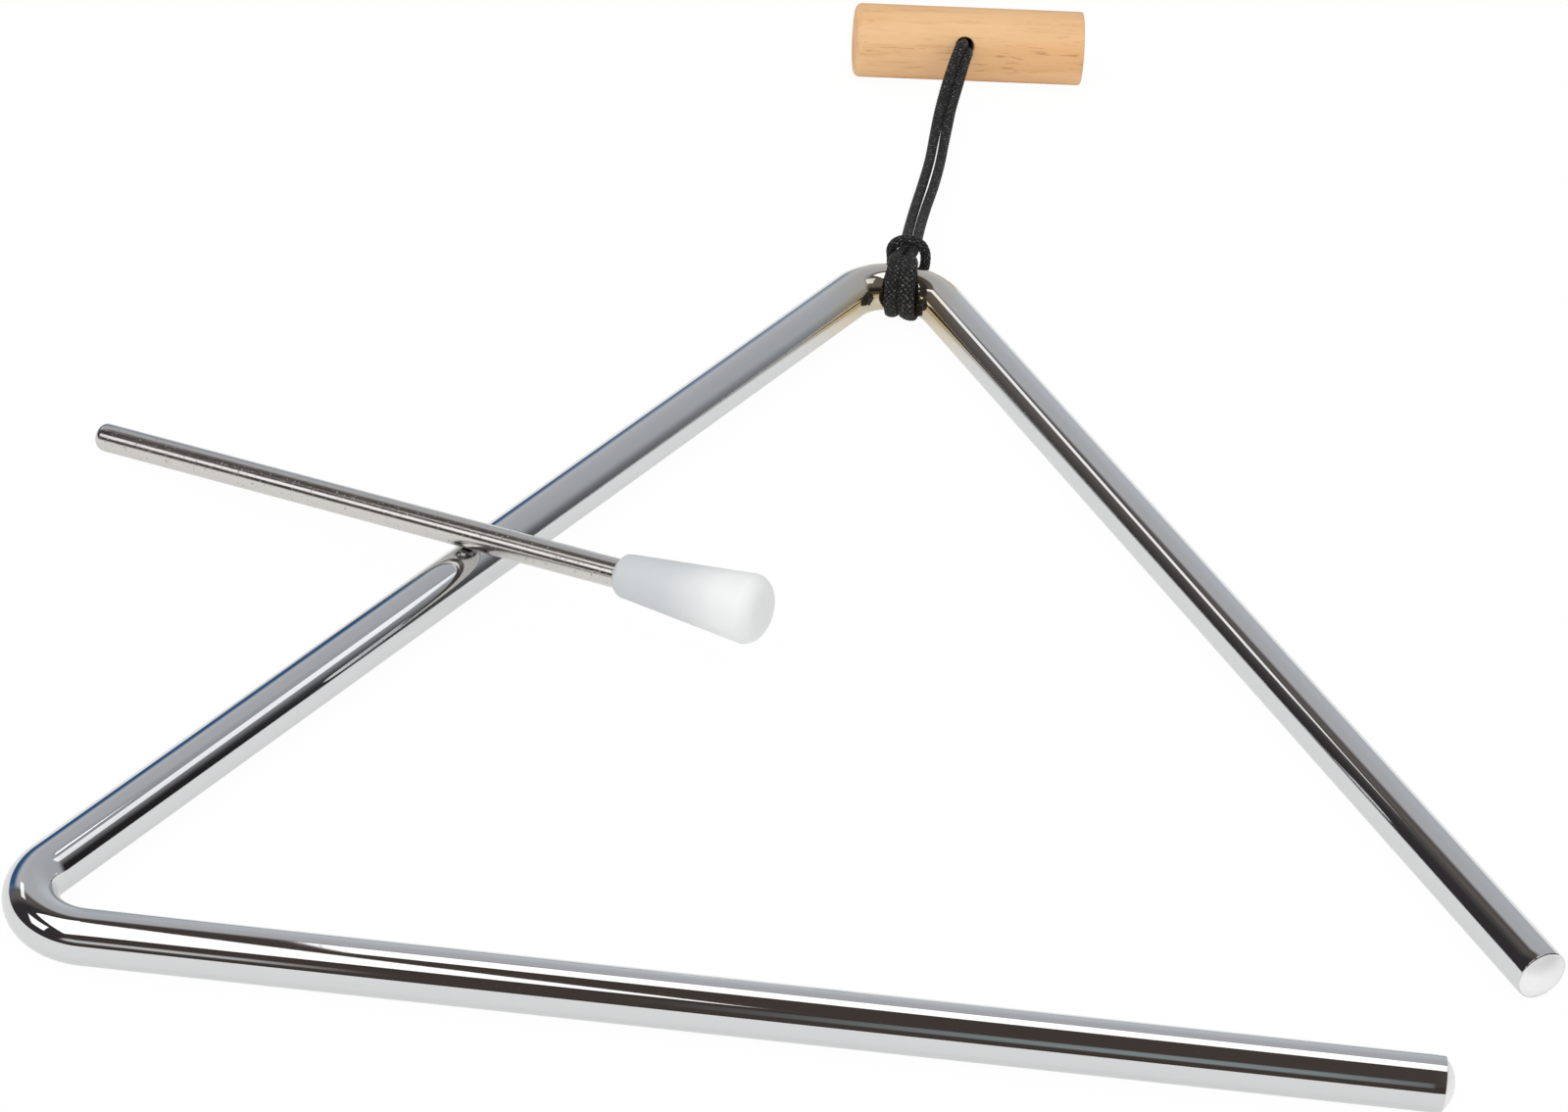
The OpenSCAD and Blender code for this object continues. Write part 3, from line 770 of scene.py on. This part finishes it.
studio = Look(bpy.data.worlds.new("studio"))
bpy.context.scene.world = studio.owner
way = studio.node("TexCoord", out="Generated")
right, back, up = (studio.node("SeparateXYZ", None, {0: way}, out=axis) for axis in "XYZ")
# The dim part of the room is greyer ahead and browner on the right. At the far right it is
# black low down and grey high up, and level dark gaps run all round it.
dark = studio.mix(studio.ease(back, 0.18, 0.4), (0.042, 0.038, 0.041), (0.16, 0.145, 0.137))
dark = studio.mix(studio.ease(right, -0.8, 0.0), dark, (0.072, 0.055, 0.048))
far_dark = studio.mix(studio.ease(up, 0.3, 0.6), (0.022, 0.02, 0.021), (0.17, 0.165, 0.17))
dark = studio.mix(studio.ease(right, 0.0, 0.8), dark, far_dark)
shelves = studio.noise(studio.node("CombineXYZ", None, {2: up}), 22.0, 1.0)
dark = studio.mix(studio.ease(shelves, 0.42, 0.3), dark, (0.012, 0.011, 0.012))
# The wall is bluer low down and greyer on the right. Its near edge is softer to the right.
pale = studio.mix(studio.ease(up, 0.2, 0.75), (0.65, 0.685, 0.735), (0.55, 0.55, 0.575))
pale = studio.mix(studio.ease(right, 0.0, 0.6), pale, (0.495, 0.515, 0.545))
past_left = studio.node("Clamp", None, {"Value": right + 0.5})
far_right = studio.ease(right, 0.3, 0.75)
wall = studio.ease((back - 0.48 + 0.24 * past_left + 0.12 * far_right)
                   / (0.1 + 0.22 * past_left - 0.02 * far_right), 0.0, 1.0)
room = studio.mix(wall, dark, pale)
# The door on the left, and the shelf and the window behind the camera
door = (studio.ease(right / (back + 0.001), -0.09, -0.35) * studio.ease(back, 0.35, 0.6)
        * studio.ease(up, 0.48, 0.26) * studio.ease(up, 0.0, 0.06))
room = studio.mix(door, room, (0.04, 0.115, 0.25))
shelf = (studio.ease(right, -0.06, 0.06) * studio.ease(right, 0.16, 0.09)
         * studio.ease(back, -0.6, -0.76)
         * studio.ease(up, 0.27, 0.4) * studio.ease(up, 0.66, 0.54))
room = studio.mix(shelf, room, (0.28, 0.32, 0.33))
low_window = (studio.ease(right, -0.1, -0.15) * studio.ease(back, -0.8, -0.88)
              * studio.ease(up, 0.2, 0.28) * studio.ease(up, 0.44, 0.36))
room = studio.mix(low_window, room, (0.68, 0.68, 0.68))
# Metal sees the room, dull surfaces get an even fill, stronger from behind the camera, and the
# camera sees plain white
room = studio.node("Background", None, {"Color": room, "Strength": 1.0})
plain = studio.node("Background", None, {"Color": (1, 1, 1), "Strength": 1.0})
fill_colour = studio.mix(studio.ease(back, 0.1, -0.6), (0.474, 0.474, 0.474), (1, 1, 1))
fill = studio.node("Background", None, {"Color": fill_colour, "Strength": 1.14})
camera_ray = studio.node("LightPath", out="Is Camera Ray")
glossy_ray = studio.node("LightPath", out="Is Glossy Ray")
shown = studio.node("MixShader", None, {0: glossy_ray, 1: fill, 2: room})
studio.node("OutputWorld", None,
            {"Surface": studio.node("MixShader", None, {0: camera_ray, 1: shown, 2: plain})})


def soft_box(name, x, y, wide, deep, turn, level):
    """A rectangular lamp that hangs level and shines down. Its level is its brightness,
    where 1 is white."""
    lamp = bpy.data.lights.new(name, "AREA")
    lamp.shape, lamp.size, lamp.size_y = "RECTANGLE", wide, deep
    lamp.energy = level * math.pi * wide * deep
    box = bpy.data.objects.new(name, lamp)
    box.location = (x, y, lamp_height)
    box.rotation_euler = (0, 0, math.radians(turn))
    bpy.context.scene.collection.objects.link(box)


soft_box("box_over", 0.10, 0.11, 0.50, 0.40, 4, 1.55)
soft_box("box_front", -0.4175, -0.4600, 0.60, 0.93, 13, 1.55)
soft_box("box_side", -1.55, -0.78, 1.10, 0.70, 38, 1.5)
soft_box("box_right", 0.71, 0.23, 0.42, 0.34, -12, 0.85)
soft_box("box_left", -0.90, 0.55, 0.24, 0.42, -26, 1.1)

bpy.context.scene.view_settings.view_transform = "Standard"
